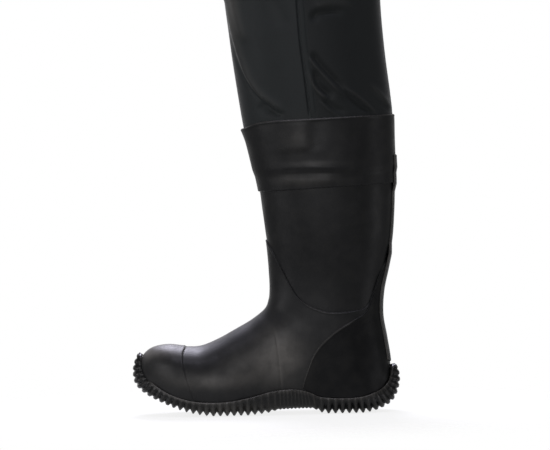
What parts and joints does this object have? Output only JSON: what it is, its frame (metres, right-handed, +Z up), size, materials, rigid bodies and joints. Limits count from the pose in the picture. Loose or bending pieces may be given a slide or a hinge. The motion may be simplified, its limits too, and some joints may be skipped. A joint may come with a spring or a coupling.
{
  "type": "wader boot",
  "caption": "Left boot of bootfoot waders: hollow rubber foot and shaft on a saw-toothed sole, with a wide cuff round the open lower end of the fabric leg.",
  "frame": {"origin": "on the floor, under the middle of the whole part", "axes": "+Z up along the leg; the toe points to -X and the outer side of the foot to -Y"},
  "size_m": [0.3112, 0.1271, 0.4951],
  "materials": {
    "rubber": "moulded black rubber with a fine pebbled skin and a soft sheen",
    "tread_rubber": "smooth black moulded rubber",
    "nylon": "dark grey coated plain-weave nylon",
    "felt": "grey needle felt"
  },
  "bodies": {
    "root": {"outsole": "tread_rubber", "upper": "rubber", "counter": "rubber", "back_stay": "rubber", "cuff": "rubber", "leg": "nylon", "insole": "felt"}
  },
  "joints": []
}
